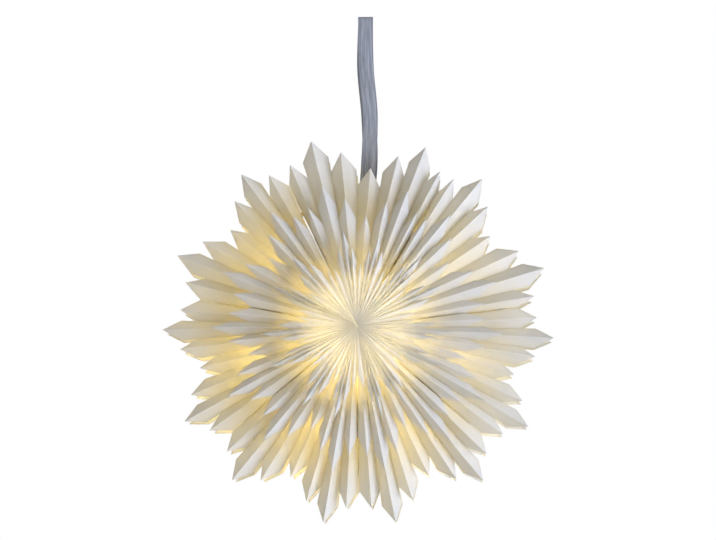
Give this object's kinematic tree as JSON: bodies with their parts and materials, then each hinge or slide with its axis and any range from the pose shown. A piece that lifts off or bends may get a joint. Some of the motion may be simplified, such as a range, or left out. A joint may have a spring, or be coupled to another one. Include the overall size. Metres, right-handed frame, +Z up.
{
  "type": "paper star pendant light",
  "caption": "Round pleated paper star lantern with nested pointed petals, hung on a woven ribbon loop and lit from inside by a battery LED lamp.",
  "frame": {"origin": "inside of the top fold of the ribbon loop, where a hook carries the star", "axes": "+Z up, away from the star along the hanging ribbon; Y along the star's axis, with the front facing -Y; +X to the right as seen from the front"},
  "size_m": [0.3872, 0.136, 0.5091],
  "materials": {
    "white_paper": "matte",
    "woven_ribbon": "matte",
    "birch_rod": "satin",
    "clear_white_plastic": "satin",
    "clip_steel": "satin",
    "white_plastic": "satin",
    "grey_plastic": "satin",
    "cell_jacket": "satin",
    "nickel_contacts": "satin",
    "lead_insulation": "satin",
    "led_board": "matte",
    "led_resin": "gloss",
    "frosted_diffuser": "satin"
  },
  "bodies": {
    "ribbon": {"ribbon_loop": "woven_ribbon"},
    "star": {"inner_sheet_1": "white_paper", "inner_sheet_2": "white_paper", "inner_sheet_3": "white_paper", "inner_sheet_4": "white_paper", "inner_sheet_5": "white_paper", "inner_sheet_6": "white_paper", "inner_sheet_7": "white_paper", "middle_sheet_1": "white_paper", "middle_sheet_2": "white_paper", "middle_sheet_3": "white_paper", "middle_sheet_4": "white_paper", "middle_sheet_5": "white_paper", "middle_sheet_6": "white_paper", "middle_sheet_7": "white_paper", "rim_sheet_1": "white_paper", "rim_sheet_2": "white_paper", "rim_sheet_3": "white_paper", "rim_sheet_4": "white_paper", "rim_sheet_5": "white_paper", "rim_sheet_6": "white_paper", "rim_sheet_7": "white_paper", "hanging_rod": "birch_rod", "rod_end_caps": "clear_white_plastic", "closing_clip_front": "clip_steel", "closing_clip_back": "clip_steel"},
    "lamp": {"lamp_cap": "white_plastic", "battery_tube": "white_plastic", "battery_cell_1": "cell_jacket", "battery_cell_2": "cell_jacket", "battery_cell_3": "cell_jacket", "upper_contacts": "nickel_contacts", "battery_springs": "nickel_contacts", "lamp_neck": "white_plastic", "lamp_leads": "lead_insulation", "led_board": "led_board", "led_chip": "led_resin", "lamp_diffuser": "frosted_diffuser"},
    "battery_door": {"battery_cover": "white_plastic"},
    "switch": {"switch_slider": "grey_plastic"}
  },
  "joints": [
    {"name": "star_swing", "type": "hinge", "parent": "ribbon", "child": "star", "pos_m": [0, 0, -0.2], "axis": [1, 0, 0], "range_deg": [-20, 20]},
    {"name": "lamp_swing", "type": "hinge", "parent": "star", "child": "lamp", "pos_m": [0, 0, -0.2], "axis": [1, 0, 0], "range_deg": [-10, 10]},
    {"name": "cover_lift", "type": "slide", "parent": "lamp", "child": "battery_door", "axis": [0, 1, 0], "range_m": [0, 0.011]},
    {"name": "switch_slide", "type": "slide", "parent": "lamp", "child": "switch", "axis": [0, 0, -1], "range_m": [0, 0.004]}
  ]
}
